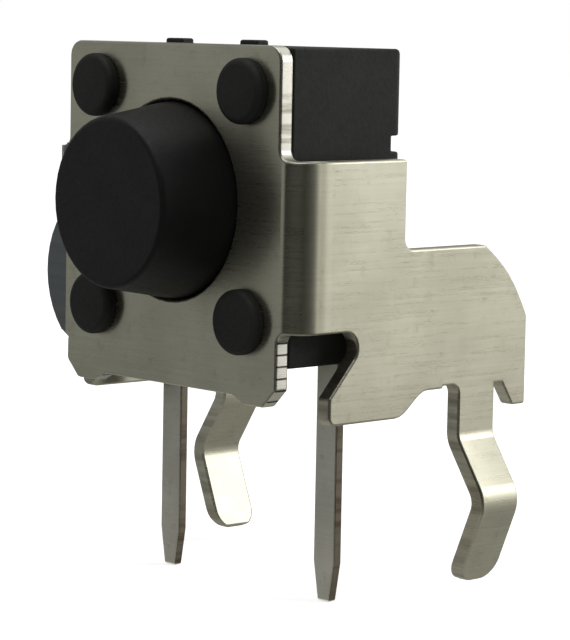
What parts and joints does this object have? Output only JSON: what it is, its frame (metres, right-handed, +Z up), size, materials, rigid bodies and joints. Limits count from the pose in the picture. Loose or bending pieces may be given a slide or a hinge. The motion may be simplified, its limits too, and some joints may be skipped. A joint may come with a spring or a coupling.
{
  "type": "right-angle pushbutton switch",
  "caption": "Side-push momentary pushbutton switch: black case and round plunger behind a bent metal bracket with wings, kinked snap-in legs and straight solder pins.",
  "frame": {"origin": "middle of the row of terminal pins, on the board's top face", "axes": "+X to the right seen by the finger, +Y the way the plunger is pressed, +Z up from the board"},
  "size_m": [0.0084, 0.0078, 0.0106],
  "materials": {
    "case_plastic": "fine moulded, matte black",
    "bracket_steel": "tin plated, satin with fine rolling lines",
    "plunger_plastic": "moulded, satin black",
    "seal_film": "thin amber film",
    "dome_steel": "thin spring sheet",
    "plated_terminal": "plated, dull silver"
  },
  "bodies": {
    "switch_body": {"housing": "case_plastic", "bracket": "bracket_steel", "cover_film": "seal_film", "contact_dome": "dome_steel", "terminal_left": "plated_terminal", "terminal_right": "plated_terminal"},
    "button": {"plunger": "plunger_plastic"}
  },
  "joints": [
    {"name": "plunger_press", "type": "slide", "parent": "switch_body", "child": "button", "axis": [0, 1, 0], "range_m": [0, 0.00025], "stiffness_N_per_m": 6400, "deforming": ["contact_dome", "cover_film"]}
  ]
}
